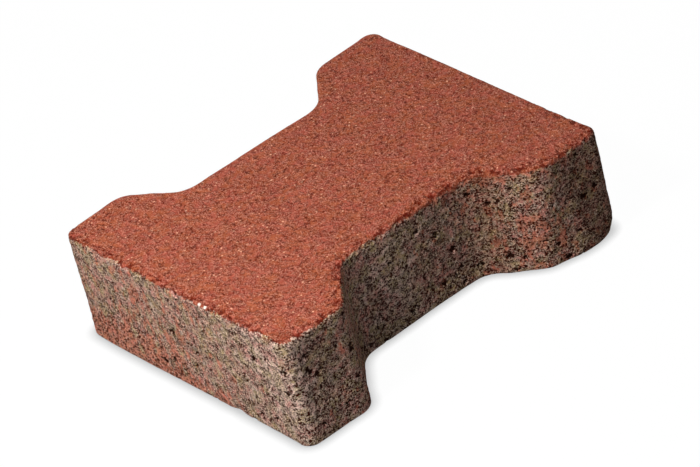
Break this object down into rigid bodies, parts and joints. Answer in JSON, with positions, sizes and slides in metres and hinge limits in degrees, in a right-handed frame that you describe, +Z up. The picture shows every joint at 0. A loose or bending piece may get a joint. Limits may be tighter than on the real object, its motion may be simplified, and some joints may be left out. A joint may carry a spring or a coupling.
{
  "type": "concrete paving stone",
  "caption": "Interlocking double-T concrete paving stone with flared ends, sloping flanks and a narrow waist, flat on top and underneath, pressed in one piece.",
  "frame": {"origin": "centre of the bed face, the flat underside that the stone lies on", "axes": "+X along the stone from one flared end to the other, +Y across it, +Z up to the wearing face"},
  "size_m": [0.2, 0.163, 0.058],
  "materials": {
    "red_concrete": "pressed concrete, iron-oxide red on the wearing face, grey-brown with red streaks on the sides, matt and granular"
  },
  "bodies": {
    "root": {"paving_stone": "red_concrete"}
  },
  "joints": []
}
